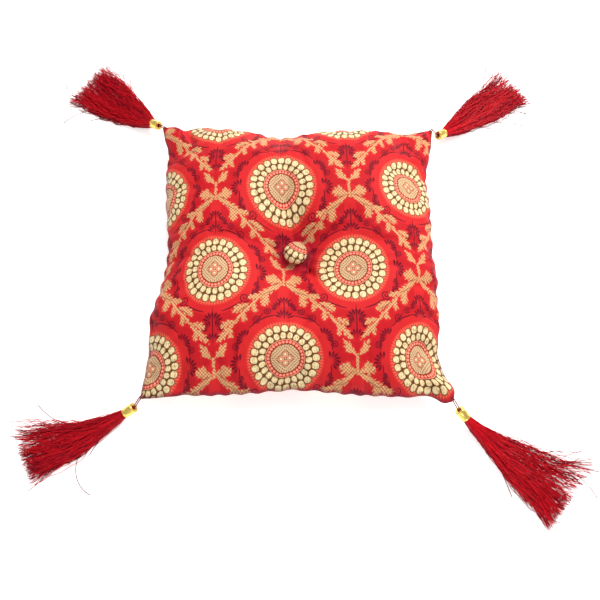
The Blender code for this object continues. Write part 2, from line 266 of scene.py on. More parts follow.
def upper_panel(p, q):
    """The face: it rises from the seam to the crown, less the tuft pit, the folds and the wrinkles."""
    x, y = panel_plan(p, q)
    full = stuffing(p, q)
    out = np.hypot(x - PIT_X, y - PIT_Y)
    from_seat = np.maximum(out - SEAT_RADIUS, 0)
    pit = PIT_DEPTH * np.exp(-(from_seat / PIT_REACH) ** PIT_SHAPE)
    past_seat = 1 - np.exp(-(from_seat / SEAT_FADE) ** 2)
    folds = fold_depth(x, y) * np.sqrt(full) * past_seat
    round_tuft = np.arctan2(y - PIT_Y, x - PIT_X)
    wrinkles = np.cos(TUFT_WRINKLES * round_tuft + 1.3 * np.sin(2 * round_tuft + 0.7))
    wrinkles = wrinkles * np.exp(-((out - TUFT_WRINKLE_RADIUS) / TUFT_WRINKLE_REACH) ** 2)
    moat = MOAT_DEPTH * np.exp(-((out - MOAT_RADIUS) / MOAT_WIDTH) ** 2) * past_seat
    fine = TUFT_WRINKLE_DEPTH * wrinkles * past_seat + gathers(p, q) * np.sqrt(full) + moat
    z = seam_height(p, q) + (CROWN_HEIGHT - SEAM_HEIGHT) * full - pit * full - folds - fine
    return np.stack([x, y, z], axis=-1)


def lower_panel(p, q):
    """The back: it drops from the seam and lies flat on the surface across the middle."""
    x, y = panel_plan(p, q)
    full = stuffing(p, q)
    drop = seam_height(p, q) - UNDERSIDE_DROP * full + gathers(p, q) * np.sqrt(full)
    return np.stack([x, y, np.maximum(drop, 0)], axis=-1)


def crowd(t):
    """Spaces the grid lines closer at the tuft and at the seams than between them."""
    return t - CELL_CROWDING * np.sin(2 * math.pi * t) / (2 * math.pi)


def grid_faces(rows, columns, wrap=False):
    """Corner numbers of the quads of a grid of points. Wrap joins the last column to the first."""
    across = columns if wrap else columns - 1
    row, column = np.meshgrid(np.arange(rows - 1), np.arange(across), indexing="ij")
    here = row * columns + column
    beside = row * columns + (column + 1) % columns
    return np.stack([here, beside, beside + columns, here + columns], axis=-1).reshape(-1, 4)


def tube_faces(stations, sides):
    """Faces of wrapped rings of points, and those that close its ends on two points numbered after them."""
    step = np.arange(sides)
    after = (step + 1) % sides
    far = (stations - 1) * sides
    start = np.stack([step, after, np.full(sides, stations * sides)], axis=1)
    end = np.stack([far + after, far + step, np.full(sides, stations * sides + 1)], axis=1)
    return grid_faces(stations, sides, wrap=True)[:, ::-1], np.concatenate([start, end])


def new_piece(name, points, faces, look):
    """A smooth mesh object from its name, points in millimetres, faces and material."""
    mesh = bpy.data.meshes.new(name)
    mesh.from_pydata((np.asarray(points, float) * MM).tolist(), [], [list(face) for face in faces])
    mesh.validate()
    mesh.shade_smooth()
    mesh.materials.append(look)
    piece = bpy.data.objects.new(name, mesh)
    bpy.context.scene.collection.objects.link(piece)
    return piece


def add_attribute(piece, name, values):
    """One number for each point of the piece, for its material to read."""
    made = piece.data.attributes.new(name, "FLOAT", "POINT")
    made.data.foreach_set("value", np.asarray(values, np.float32).ravel())


def add_cloth_map(piece, flat):
    """The cut of the cloth as a UV map: one flat place, in metres, for each corner of each face."""
    cloth = piece.data.uv_layers.new(name="cloth")
    cloth.uv.foreach_set("vector", (np.asarray(flat) * MM).astype(np.float32).ravel())


EDGE_SOFTNESS = 0.16


class Wire:
    """A number inside a node tree. Each sum on it, and each of its methods, adds a Math node."""

    tree = None

    def __init__(self, socket):
        self.socket = socket

    @classmethod
    def node(cls, kind, values):
        made = cls.tree.nodes.new("ShaderNodeMath")
        made.operation = kind
        for slot, value in zip(made.inputs, values):
            if isinstance(value, Wire):
                cls.tree.links.new(value.socket, slot)
            else:
                slot.default_value = value
        return cls(made.outputs[0])

    def __rsub__(self, other):
        return Wire.node("SUBTRACT", (other, self))

    def wrap(self, low, high):
        return Wire.node("WRAP", (self, high, low))

    def cover(self, softness=EDGE_SOFTNESS):
        """1 where the distance is well inside, 0 well outside, with an edge that soft."""
        held = Wire.tree.nodes.new("ShaderNodeClamp")
        eased = Wire.node("MULTIPLY_ADD", (self, 1 / softness, 0.5))
        Wire.tree.links.new(eased.socket, held.inputs["Value"])
        return Wire(held.outputs[0])


# Method and kind of Math node. Fold runs from 0 up to its size and back to 0, over and over.
WIRE_METHODS = {
    "__add__": "ADD", "__radd__": "ADD", "__sub__": "SUBTRACT",
    "__mul__": "MULTIPLY", "__rmul__": "MULTIPLY", "__truediv__": "DIVIDE",
    "__abs__": "ABSOLUTE", "power": "POWER", "max": "MAXIMUM",
    "min": "MINIMUM", "sin": "SINE", "root": "SQRT",
    "sign": "SIGN", "over": "GREATER_THAN", "whole": "FLOOR",
    "part": "FRACT", "fold": "PINGPONG", "angle": "ARCTAN2",
}


def wire_method(kind):
    return lambda *values: Wire.node(kind, values)


for method, kind in WIRE_METHODS.items():
    setattr(Wire, method, wire_method(kind))


def place(x, y, base_x, base_y, direction):
    """Coordinates along and across a motif that stands at its base and points in direction."""
    cos, sin = math.cos(math.radians(direction)), math.sin(math.radians(direction))
    along = Wire.node("MULTIPLY_ADD", (y, sin, -base_x * cos - base_y * sin))
    across = Wire.node("MULTIPLY_ADD", (y, cos, base_x * sin - base_y * cos))
    return Wire.node("MULTIPLY_ADD", (x, cos, along)), Wire.node("MULTIPLY_ADD", (x, -sin, across))


def reach(x, y):
    """Distance from the middle: the root of the two squares."""
    return (x * x + y * y).root()


def paint(under, mask, over):
    """The colour under, with over laid on it where the mask is 1."""
    made = Wire.tree.nodes.new("ShaderNodeMix")
    made.data_type = "RGBA"
    sockets = [slot for slot in made.inputs if slot.type == "RGBA"]
    Wire.tree.links.new(mask.socket, made.inputs["Factor"])
    for slot, value in zip(sockets, (under, over)):
        if isinstance(value, tuple):
            slot.default_value = (*value, 1.0)
        else:
            Wire.tree.links.new(value, slot)
    return [slot for slot in made.outputs if slot.type == "RGBA"][0]


def curve_away(along, across, length, bend):
    """Bends a motif sideways by a parabola that reaches bend at its tip."""
    return across - along * along * (bend / length ** 2) if bend else across


def acanthus(x, y, base_x, base_y, direction, length, width, lobes, bend=0.0):
    """Distance inside a lobed leaf: 4t(1-t) wide, notched between round lobes that lean to the tip."""
    along, across = place(x, y, base_x, base_y, direction)
    across = abs(curve_away(along, across, length, bend))
    t = (along - across * 0.7) / length
    gap = 1 - (t * lobes).part()
    return (1 - t) * t * (4 * width) * (1 - gap * gap * 0.66) - across


def blade(x, y, base_x, base_y, direction, length, width, bend=0.0):
    """Distance inside a stem: 1-(2t-1)^4 wide, so nearly even with rounded ends."""
    along, across = place(x, y, base_x, base_y, direction)
    across = abs(curve_away(along, across, length, bend))
    t = along * (2 / length) - 1
    t = t * t
    return (1 - t * t) * width - across


def palmette(x, y, base_x, base_y, direction, length, petals, spread, width):
    """Distance inside a fan of narrow petals that start a little way out from the base."""
    along, across = place(x, y, base_x, base_y, direction)
    out = reach(along, across)
    turn = across.angle(along)
    step = math.radians(spread) / (petals - 1)
    beside = abs(turn.wrap(-step / 2, step / 2)) * out
    t = out * (1.25 / length) - 0.25
    petal = t * abs(t) * (1 - t) * (6.75 * width) - beside
    return petal.min((petals * step / 2 - abs(turn)) * out)


def spiral(x, y, base_x, base_y, direction, size, width):
    """Distance inside a curled tendril: a line that winds outwards as it turns about its base."""
    along, across = place(x, y, base_x, base_y, direction)
    out = reach(along, across)
    pitch = size * 0.52
    line = out / pitch - across.angle(along) * (0.5 / math.pi)
    return (width - abs(line.wrap(-0.5, 0.5)) * pitch).min(size - out)


# The repeat of the cloth, measured flat: medallions stand in columns a pitch apart, and each
# column is dropped by a drop from its neighbours. The leaf lattice has its knots between them.
MEDALLION_X = -9.8
MEDALLION_Y = 32.6
CLOTH_TURN = 1.7
PITCH = 39.5
DROP = 52.0
KNOT_DROP = 6.0
KNOT_MARGIN = 5.0
MEDALLION_RADIUS = 20.0
THREAD_STEP = 0.30
DOT_PITCH = 0.95
FRAY_SCALE = 0.62
LEAF_FRAY = 2.4
LEAF_FRAY_LEVEL = 0.57
SPINE_WIDTH = 0.95
SPINE_BELOW = 3.0
SPINE_ABOVE = 9.0
PLAIN_RING = 1.30
PLAIN_MARGIN = 0.9
PLAIN_KNOT_HEIGHT = 14.0
PLAIN_KNOT_DROP = 2.0
PLAIN_KNOT_WIDTH = 3.4
CLOUD_SCALE = 0.03
CLOUD_STRENGTH = 0.3
GROUND_DOTS = 0.22
LEAF_DOTS = 0.72
FLOWER_STRENGTH = 0.96
VEIN_STRENGTH = 0.6
CRUMPLE_SCALE = 95.0
CRUMPLE_HEIGHT = 5.0
RELIEF_HEIGHT = 0.12

GROUND_RED = (0.57, 0.019, 0.021)
GROUND_DEEP = (0.43, 0.008, 0.013)
MAROON = (0.110, 0.002, 0.011)
LEAF_GOLD = (0.66, 0.37, 0.17)
LEAF_SHADE = (0.28, 0.045, 0.018)
PETAL_CREAM = (0.73, 0.58, 0.33)
PETAL_SHADE = (0.36, 0.22, 0.07)
DISC_TAN = (0.68, 0.44, 0.25)
OUTLINE_OLIVE = (0.11, 0.042, 0.012)
HALO_PINK = (0.80, 0.20, 0.10)
DOT_PINK = (0.74, 0.27, 0.17)
# Painted shade, darkening the cloth along the seam and round the tuft.
PAINTED_SHADE_RED = (0.10, 0.004, 0.022)

GARLAND_STEMS = (
    # base x, base y, direction, length, half width, bend
    (0, 0.5, -47, 21, 1.10, 3.4),
    (12.5, -9, -52, 21, 1.05, 2.4),
    (23.5, -21.5, -43, 17, 1.00, -1.6),
)
GARLAND_LEAVES = (
    # base x, base y, direction, length, half width, lobes, bend
    (2.5, -3.6, -24, 14.6, 2.6, 5.4, -1.6),
    (9, -7, -70, 9.6, 3, 4.2, -1),
    (12.6, -8.6, -30, 8, 2.2, 3, 1.4),
    (16.5, -13, -84, 6.8, 2, 3, -1),
    (19, -14.6, -20, 10.6, 2.7, 4.2, -1.4),
    (22, -18.6, -84, 6.6, 2.1, 3, -0.6),
    (27.5, -24, -18, 8.6, 2.3, 3.2, -0.8),
    (27, -25, -46, 15, 2.3, 4.6, 0),
    (29.5, -27.5, -88, 6.4, 1.7, 2.4, 0),
)
KNOT_LEAVES = (
    (0.2, -0.4, 6, 10.2, 3.3, 4.2, 0.6),
    (0.6, -1.6, -24, 8.4, 2.2, 3.2, -0.5),
    (3.6, 0.6, 48, 5, 1.9, 2.4, 0),
)
FORK_LEAVES = (
    # measured from the next knot down
    (-0.4, 7.2, 131, 11.5, 2.3, 3, -0.6),
    (-1.6, 8.6, 150, 5.5, 1.6, 1, 0),
)
FLOWERS = (
    # base x, base y, direction, length, petals, spread, half width
    (24.6, -1.6, 20, 5.8, 7, 150, 0.66),
    (21.2, 11.6, 40, 5.4, 7, 135, 0.60),
    (21.6, -11.2, -14, 4.8, 7, 135, 0.55),
    (0, 22.8, 90, 5.8, 7, 140, 0.66),
    (2.6, 28.6, 42, 4.8, 5, 95, 0.60),
    (0, 31.2, 90, 5.4, 5, 90, 0.60),
    (0, -30.4, 90, 6, 7, 140, 0.68),
    (1.2, -34, 34, 5, 5, 90, 0.60),
    (0, -40.6, 90, 5, 5, 105, 0.60),
)
PETAL_RINGS = (
    # count, middle and half length as shares of the radius, half width, turned by
    (24, 0.850, 0.098, 1.79, 0.00),
    (22, 0.645, 0.088, 1.45, 0.07),
)
PETAL_RIM = 0.44
PETAL_SQUARENESS = 2.4
PETAL_REACH = 0.95
PETAL_GROUND_REACH = 0.86
STREAK_PITCH = 1.3
STREAK_SWAY = 1.7
HALO_REACH = 1.030
HALO_RAYS = 78.0
BAND_RINGS = (
    # radius as a share of the medallion's, colour
    (0.555, OUTLINE_OLIVE),
    (0.536, DOT_PINK),
    (0.516, GROUND_DEEP),
)
BEADS = 30
BEAD_RADIUS = 0.74
BEAD_REACH = 0.462
DISC_RIM_REACH = 0.413
DISC_REACH = 0.390
HATCH_PITCH = 1.9
HATCH_RAYS = 34.0
QUARTER_OFFSET = 2.35
QUARTER_RINGS = (
    # radius, colour
    (1.95, OUTLINE_OLIVE),
    (1.60, DOT_PINK),
    (1.00, OUTLINE_OLIVE),
    (0.74, PETAL_CREAM),
)
VEINS = (
    # base x, base y, direction, length, half width, bend
    (1.6, -1, -18, 6.4, 0.24, -0.9),
    (4.6, -5.2, -33, 11, 0.27, 1.2),
    (18.6, -14.6, -38, 9, 0.27, 1.2),
)
TENDRIL_STEMS = (
    # base x, base y, direction, length, half width, bend
    (0, -22, -90, 19.5, 0.32, 0),
    (0, 22, 90, 15, 0.32, 0),
    (4, 24.8, -8, 14, 0.38, -3),
    (25.6, 4, 78, 9, 0.34, 2.2),
    (24.8, -3, -82, 8, 0.34, -1.6),
    (4.5, -24.5, 12, 13.5, 0.38, 3),
    (20, 16.8, 142, 12.5, 0.32, -2.2),
    (20.6, -17.4, 66, 6.5, 0.30, 0.8),
)
TENDRIL_CURLS = (
    # centre x, centre y, direction, size, half width
    (17.6, -17.2, 40, 3, 0.32),
    (27.2, 7.4, 250, 2.2, 0.28),
    (15.2, 21.8, 200, 2.5, 0.30),
    (9.2, 27, 60, 2.1, 0.28),
)


def noise(tree, scale, spot=None, detail=2.0):
    """Soft random patches over the piece's own place, or over spot: a larger scale makes them smaller."""
    made = tree.nodes.new("ShaderNodeTexNoise")
    made.inputs["Scale"].default_value = scale
    made.inputs["Detail"].default_value = detail
    if spot is None:
        spot = tree.nodes.new("ShaderNodeTexCoord").outputs["Object"]
    tree.links.new(spot, made.inputs["Vector"])
    return Wire(made.outputs["Fac"])


def marked(tree, name):
    """What the piece's attribute of that name says at each point."""
    made = tree.nodes.new("ShaderNodeAttribute")
    made.attribute_name = name
    return Wire(made.outputs["Fac"])


def brocade_group():
    """Colour, gilding and relief of the brocade, drawn from flat cloth coordinates in metres."""
    tree = Wire.tree = bpy.data.node_groups.new("brocade", "ShaderNodeTree")
    tree.interface.new_socket("Cloth", in_out="INPUT", socket_type="NodeSocketVector")
    for label, kind in (("Color", "Color"), ("Gilding", "Float"), ("Relief", "Float")):
        tree.interface.new_socket(label, in_out="OUTPUT", socket_type="NodeSocket" + kind)
    entry = tree.nodes.new("NodeGroupInput")
    leave = tree.nodes.new("NodeGroupOutput")
    turned = tree.nodes.new("ShaderNodeMapping")
    turned.vector_type = "TEXTURE"
    turned.inputs["Location"].default_value = (MEDALLION_X * MM, MEDALLION_Y * MM, 0)
    turned.inputs["Rotation"].default_value = (0, 0, math.radians(CLOTH_TURN))
    turned.inputs["Scale"].default_value = (MM, MM, MM)
    tree.links.new(entry.outputs["Cloth"], turned.inputs["Vector"])
    parts = tree.nodes.new("ShaderNodeSeparateXYZ")
    tree.links.new(turned.outputs[0], parts.inputs[0])
    raw_x, raw_y = Wire(parts.outputs[0]), Wire(parts.outputs[1])

    # The loom draws every edge in steps of one thread.
    x = ((raw_x / THREAD_STEP).whole() + 0.5) * THREAD_STEP
    y = ((raw_y / THREAD_STEP).whole() + 0.5) * THREAD_STEP

    fray = noise(tree, FRAY_SCALE, turned.outputs[0], 1.0)

    # Lattice: rows of knots, every second row moved by half a repeat, mirrored about each knot.
    rows = (KNOT_MARGIN - KNOT_DROP - y) / DROP
    row = rows.whole()
    knot_y = KNOT_MARGIN - (rows - row) * DROP
    knot_x = abs((x + PITCH - row * PITCH).wrap(-PITCH, PITCH))
    leafage = (SPINE_WIDTH - knot_x).min(knot_y + SPINE_BELOW)
    leafage = leafage.max((SPINE_WIDTH - abs(knot_x - PITCH)).min(SPINE_ABOVE - DROP - knot_y))
    for sizes in GARLAND_STEMS:
        leafage = leafage.max(blade(knot_x, knot_y, *sizes))
    for sizes in GARLAND_LEAVES + KNOT_LEAVES:
        leafage = leafage.max(acanthus(knot_x, knot_y, *sizes))
    for base_x, base_y, *sizes in FORK_LEAVES:
        leafage = leafage.max(acanthus(knot_x, knot_y, base_x + PITCH, base_y - DROP, *sizes))
    leafage = leafage + (fray - LEAF_FRAY_LEVEL) * LEAF_FRAY
    veins = blade(knot_x, knot_y, *VEINS[0])
    for sizes in VEINS[1:]:
        veins = veins.max(blade(knot_x, knot_y, *sizes))

    # Medallions: the nearest of the two staggered sets of centres.
    first_x = x.wrap(-PITCH, PITCH)
    first_y = y.wrap(-DROP, DROP)
    far = (abs(first_x) / PITCH + abs(first_y) / DROP).over(1.0)
    from_x = first_x - first_x.sign() * far * PITCH
    from_y = first_y - first_y.sign() * far * DROP
    side_x = abs(from_x)
    flowers = palmette(side_x, from_y, *FLOWERS[0])
    for sizes in FLOWERS[1:]:
        flowers = flowers.max(palmette(side_x, from_y, *sizes))
    for sizes in TENDRIL_STEMS:
        flowers = flowers.max(blade(side_x, from_y, *sizes))
    for sizes in TENDRIL_CURLS:
        flowers = flowers.max(spiral(side_x, from_y, *sizes))

    out = reach(from_x, from_y) / MEDALLION_RADIUS
    turn = from_y.angle(from_x)

    # Ground satin, with the maroon flowers and then the gold leaves on it
    near = (PLAIN_RING - out) * MEDALLION_RADIUS
    by_knot = (PLAIN_KNOT_HEIGHT - abs(knot_y + PLAIN_KNOT_DROP)).min(PLAIN_KNOT_WIDTH - knot_x)
    plain = near.max(leafage + PLAIN_MARGIN).max(by_knot)
    colour = paint(GROUND_DEEP, plain.cover(0.8), GROUND_RED)
    cloud = noise(tree, CLOUD_SCALE, turned.outputs[0])
    colour = paint(colour, cloud.cover(0.9) * CLOUD_STRENGTH, GROUND_DEEP)
    dots = ((raw_x * (math.pi / DOT_PITCH)).sin() * (raw_y * (math.pi / DOT_PITCH)).sin()).cover(1.0)
    colour = paint(colour, dots * GROUND_DOTS, GROUND_DEEP)
    flower_mask = flowers.cover()
    colour = paint(colour, flower_mask * FLOWER_STRENGTH, MAROON)
    leaf_mask = leafage.cover()
    leaf_gold = paint(LEAF_SHADE, dots * LEAF_DOTS + (1 - LEAF_DOTS), LEAF_GOLD)
    colour = paint(colour, leaf_mask, leaf_gold)
    colour = paint(colour, veins.cover() * VEIN_STRENGTH, MAROON)

    # Medallion: a toothed halo, two rings of petals, a beaded band, a hatched disc and four rings
    rays = (turn * HALO_RAYS).sin() * 0.25 + 0.35
    halo = ((HALO_REACH - out) * MEDALLION_RADIUS).cover(1.4)
    colour = paint(colour, halo * rays, HALO_PINK)
    streaks = (raw_x * (2 * math.pi / STREAK_PITCH) + (raw_y * STREAK_SWAY).sin()).sin()
    cream = paint(PETAL_CREAM, (streaks * 0.10 + fray - 0.62).cover(0.30) * 0.9, PETAL_SHADE)
    petal_mask = (PETAL_REACH - out).cover(0.02)
    colour = paint(colour, (PETAL_GROUND_REACH - out).cover(0.03), OUTLINE_OLIVE)
    for count, middle, half_length, half_width, lag in PETAL_RINGS:
        beside = (turn + lag).fold(math.pi / count) * out * (MEDALLION_RADIUS / half_width)
        along = abs(out - middle) / half_length
        squared = along.power(PETAL_SQUARENESS) + beside.power(PETAL_SQUARENESS)
        petal = (1.0 - squared.power(1 / PETAL_SQUARENESS)) * half_width
        colour = paint(colour, (petal + PETAL_RIM).cover(), OUTLINE_OLIVE)
        colour = paint(colour, petal.cover(), cream)

    for share, thread in BAND_RINGS:
        colour = paint(colour, ((share - out) * MEDALLION_RADIUS).cover(), thread)
    along_beads = turn.fold(math.pi / BEADS) * BEAD_REACH * MEDALLION_RADIUS
    beads = BEAD_RADIUS - reach((out - BEAD_REACH) * MEDALLION_RADIUS, along_beads)
    colour = paint(colour, beads.cover(0.2), DOT_PINK)
    colour = paint(colour, ((DISC_RIM_REACH - out) * MEDALLION_RADIUS).cover(), OUTLINE_OLIVE)
    disc_mask = ((DISC_REACH - out) * MEDALLION_RADIUS).cover()
    hatch = ((side_x + abs(from_y)) * (2 * math.pi / HATCH_PITCH)).sin() * 0.8
    hatch = hatch + (turn * HATCH_RAYS).sin() * 0.8
    disc = paint(OUTLINE_OLIVE, (hatch + 0.35).cover(1.2) * 0.75 + 0.15, DISC_TAN)
    colour = paint(colour, disc_mask, disc)
    quarter = reach(side_x - QUARTER_OFFSET, from_y).min(reach(side_x, abs(from_y) - QUARTER_OFFSET))
    for radius, thread in QUARTER_RINGS:
        colour = paint(colour, (radius - quarter).cover(), thread)
    tree.links.new(colour, leave.inputs["Color"])

    # Gilding is 1 on gold and cream thread. Relief is the height of the figure and of the threads.
    gilding = leaf_mask.max(petal_mask.max(disc_mask))
    tree.links.new(gilding.socket, leave.inputs["Gilding"])
    ribs = 2 * math.pi / (2 * THREAD_STEP)
    threads = (raw_x * ribs).sin() * 0.5 + (raw_y * ribs).sin()
    relief = gilding * 0.8 + threads * 0.10 - flower_mask * 0.2
    tree.links.new(relief.socket, leave.inputs["Relief"])
    return tree


def new_look(name, roughness, metallic=0.0):
    """A material with only its Principled shader set, and its tree, in which wires now go."""
    look = bpy.data.materials.new(name)
    look.use_nodes = True
    shader = look.node_tree.nodes["Principled BSDF"]
    shader.inputs["Roughness"].default_value = roughness
    shader.inputs["Metallic"].default_value = metallic
    Wire.tree = look.node_tree
    return look, look.node_tree, shader


def add_bump(tree, shader, height, distance):
    """Relief without geometry: height times distance, in millimetres."""
    bump = tree.nodes.new("ShaderNodeBump")
    bump.inputs["Distance"].default_value = distance * MM
    bump.inputs["Strength"].default_value = 1.0
    tree.links.new(height.socket, bump.inputs["Height"])
    tree.links.new(bump.outputs["Normal"], shader.inputs["Normal"])


BROCADE = brocade_group()


def brocade_look():
    """Brocade: satin ground with raised gold figure, drawn on the UV map of the flat cloth."""
    look, tree, shader = new_look("brocade_cloth", 0.6)
    cloth = tree.nodes.new("ShaderNodeUVMap")
    cloth.uv_map = "cloth"
    figure = tree.nodes.new("ShaderNodeGroup")
    figure.node_tree = BROCADE
    tree.links.new(cloth.outputs["UV"], figure.inputs["Cloth"])
    # Painted shade: the cloth is darkened where the "seam" attribute says, along the seam and round the
    # tuft.
    colour = paint(figure.outputs["Color"], marked(tree, "seam") * PAINTED_SHADE_STRENGTH, PAINTED_SHADE_RED)
    tree.links.new(colour, shader.inputs["Base Color"])
    rough = 0.62 - Wire(figure.outputs["Gilding"]) * 0.14
    tree.links.new(rough.socket, shader.inputs["Roughness"])
    shader.inputs["Specular IOR Level"].default_value = 0.09
    height = noise(tree, CRUMPLE_SCALE) * CRUMPLE_HEIGHT + Wire(figure.outputs["Relief"])
    add_bump(tree, shader, height, RELIEF_HEIGHT)
    return look


BROCADE_CLOTH = brocade_look()


def two_panels(upper, lower):
    """Points and faces of two grids of cloth that share the seam's points, and the lower grid's numbers."""
    side = upper.shape[0]
    inner = np.zeros((side, side), bool)
    inner[1:-1, 1:-1] = True
    inner = inner.ravel()
    numbers = np.arange(side * side)
    numbers[inner] = side * side + np.arange(inner.sum())
    upper_faces = grid_faces(side, side)
    lower_faces = upper_faces[:, ::-1]
    points = np.concatenate([upper.reshape(-1, 3), lower.reshape(-1, 3)[inner]])
    return points, np.concatenate([upper_faces, numbers[lower_faces]]), numbers


def between(field):
    """The same field on twice as fine a grid, halfway points being the mean of their neighbours."""
    for turn in range(2):
        finer = np.repeat(field, 2, axis=0)[:-1]
        finer[1::2] = (field[:-1] + field[1:]) / 2
        field = finer.swapaxes(0, 1)
    return field


def settle(upper, lower):
    """Cloth simulation: slightly slack panels, held at seam and tuft, are pressed outwards by the filling.

    It runs on every second line of the grid, and each point may move up to the cap. Gives how far
    the points of both panels move.
    """
    coarse_upper, coarse_lower = upper[::2, ::2], lower[::2, ::2]
    points, faces, numbers = two_panels(coarse_upper, coarse_lower)
    cloth = new_piece("settling_cloth", points, faces, BROCADE_CLOTH)
    side = coarse_upper.shape[0]
    edge = np.ones((side, side), bool)
    edge[1:-1, 1:-1] = False
    held = np.zeros(len(points), bool)
    held[:side * side] = edge.ravel()
    held |= np.hypot(points[:, 0] - PIT_X, points[:, 1] - PIT_Y) < SETTLE_TUFT_HOLD
    held |= points[:, 2] < 0.01
    cloth.vertex_groups.new(name="held").add(np.nonzero(held)[0].tolist(), 1.0, "REPLACE")
    modifier = cloth.modifiers.new("settle", "CLOTH")
    for setting, value in SETTLE_CLOTH.items():
        setattr(modifier.settings, setting, value)
    modifier.settings.effector_weights.gravity = 0
    modifier.collision_settings.use_collision = False
    modifier.point_cache.frame_end = SETTLE_STEPS
    for step in range(1, SETTLE_STEPS + 1):
        bpy.context.scene.frame_set(step)
    settled = cloth.evaluated_get(bpy.context.evaluated_depsgraph_get())
    moved = np.empty(len(points) * 3, np.float32)
    settled.data.vertices.foreach_get("co", moved)
    moved = moved.reshape(-1, 3) / MM - points
    far = np.linalg.norm(moved, axis=1, keepdims=True)
    moved = moved * np.tanh(far / SETTLE_CAP) * SETTLE_CAP / np.maximum(far, 1e-9)
    bpy.data.objects.remove(cloth)
    bpy.context.scene.frame_set(1)
    panels = moved[:side * side], moved[numbers]
    return [between(panel.reshape(side, side, 3)) for panel in panels]


def make_cushion():
    """The upper and the lower panel, settled by the filling, with the cut and the painted shade marked on
    them.
    """
    side = PANEL_CELLS + 1
    line = crowd(np.linspace(-1, 1, side))
    p, q = np.meshgrid(line, line, indexing="xy")
    upper = upper_panel(p, q)
    lower = lower_panel(p, q)
    from_tuft = np.hypot(upper[..., 0] - PIT_X, upper[..., 1] - PIT_Y)[..., None] / SETTLE_TUFT_REACH
    clear = 1 - np.exp(-from_tuft ** 4)
    smaller = upper - clear * stuffing(p, q)[..., None] * (0, 0, SETTLE_ROOM)
    upper_moved, lower_moved = settle(smaller, lower)
    upper = smaller + upper_moved * clear
    lower = lower + lower_moved
    lower[..., 2] = np.maximum(lower[..., 2], 0)
    points, faces, numbers = two_panels(upper, lower)
    cushion = new_piece("brocade_cushion", points, faces, BROCADE_CLOTH)
    eased = np.clip((q.ravel() - BACK_EDGE_START) / BACK_EDGE_SPAN, 0, 1)
    eased = BACK_EDGE_EASE * eased ** 2 * (3 - 2 * eased)
    flat = np.stack([p.ravel() * HALF_SIDE, q.ravel() * HALF_SIDE], axis=1)
    near = (flat - (TUFT_PULL_X, TUFT_PULL_Y)) / (TUFT_PULL_WIDTH, TUFT_PULL_LENGTH)
    flat[:, 1] += TUFT_PULL * np.exp(-(near ** 2).sum(axis=1)) - eased
    back_cut = flat * (-1, 1) + BACK_PANEL_SHIFT
    upper_corners = grid_faces(side, side)
    lower_corners = upper_corners[:, ::-1]
    add_cloth_map(cushion, np.concatenate([flat[upper_corners.ravel()], back_cut[lower_corners.ravel()]]))

    # The attribute "seam" holds painted shade: on the seam line, and deep round the tuft where the face dips
    # into the pit.
    to_seam = (1 - np.maximum(abs(p), abs(q)).ravel()) * HALF_SIDE
    seam_painted_shade = np.exp(-(to_seam / SEAM_PAINTED_SHADE_WIDTH) ** 2)
    from_moat = np.hypot(upper[..., 0] - PIT_X, upper[..., 1] - PIT_Y).ravel() - MOAT_RADIUS
    shade = np.zeros(len(points))
    shade[numbers] = seam_painted_shade
    shade[:side * side] = seam_painted_shade + TUFT_PAINTED_SHADE * np.exp(-(np.maximum(from_moat, 0) / TUFT_PAINTED_SHADE_WIDTH) ** 2)
    add_attribute(cushion, "seam", shade)
    return cushion


cushion = make_cushion()
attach(cushion, "root")
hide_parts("cushion")


# Covered button: a metal shell button wrapped in an offcut of the same brocade, cut across a
# medallion, and pulled down onto the face by the tufting thread.
BUTTON_RADIUS = 6.9
BUTTON_HEIGHT = 6.6
BUTTON_RIM_HEIGHT = 2.6
BUTTON_TUCK = (
    # radius, height
    (6.75, 1.9),
    (6.4, 1.2),
    (4.2, 0),
    (0, 0),
)
BUTTON_SEAT_GAP = 0.3
BUTTON_RINGS = 26
BUTTON_SIDES = 72
BUTTON_PLEATS = 17
BUTTON_PLEAT_DEPTH = 0.16
BUTTON_PLEAT_START = 0.72
BUTTON_CLOTH_X = -12.6
BUTTON_CLOTH_Y = 22.4
BUTTON_CLOTH_TURN = 14.0


